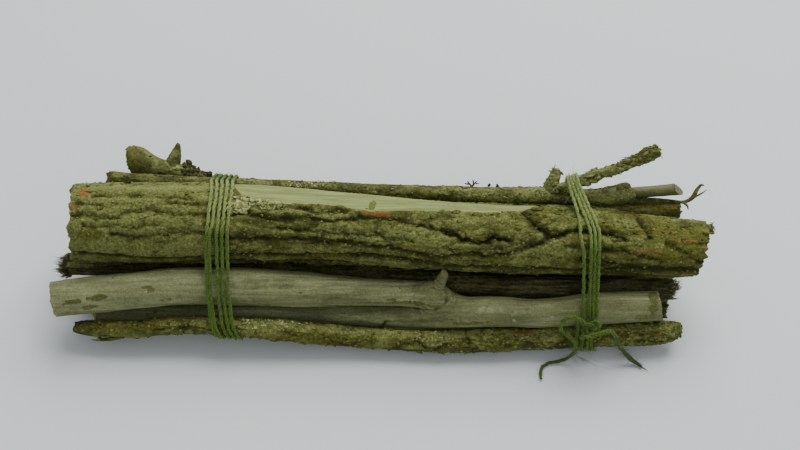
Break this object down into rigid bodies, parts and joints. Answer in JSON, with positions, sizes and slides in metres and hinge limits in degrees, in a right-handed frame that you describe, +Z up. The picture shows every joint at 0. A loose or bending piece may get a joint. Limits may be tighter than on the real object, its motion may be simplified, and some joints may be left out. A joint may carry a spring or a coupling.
{
  "type": "bundle of twigs",
  "caption": "Bundle of cut sticks and twigs with mossy bark, tied near both ends with green twine, lying on a surface.",
  "frame": {"origin": "middle of the footprint of the bundle without its free twine ends, on the surface that it lies on", "axes": "+X along the sticks to the end with the long splinter and the visible knot, +Z up, so +Y is its back, where the thin top twig lies"},
  "size_m": [0.2222, 0.0741, 0.0541],
  "materials": {
    "bark": "rough, furrowed, with lichen and moss",
    "smooth_bark": "matt, finely grained",
    "dark_bark": "rough, fibrous",
    "twine": "twisted jute, hairy"
  },
  "bodies": {
    "root": {"thick_log": "bark", "smooth_branch": "smooth_bark", "smooth_branch_limb": "smooth_bark", "front_stick": "bark", "top_twig": "bark", "top_twig_limb": "bark", "thin_twig": "smooth_bark", "knobbly_stick": "bark", "frayed_stick": "dark_bark", "inner_stick": "dark_bark", "under_stick_front": "bark", "under_stick_back": "bark", "back_stick": "smooth_bark", "twine_left": "twine", "twine_right": "twine", "knot_left": "twine", "knot_right": "twine", "tail_hooked": "twine", "tail_straight": "twine"}
  },
  "joints": []
}
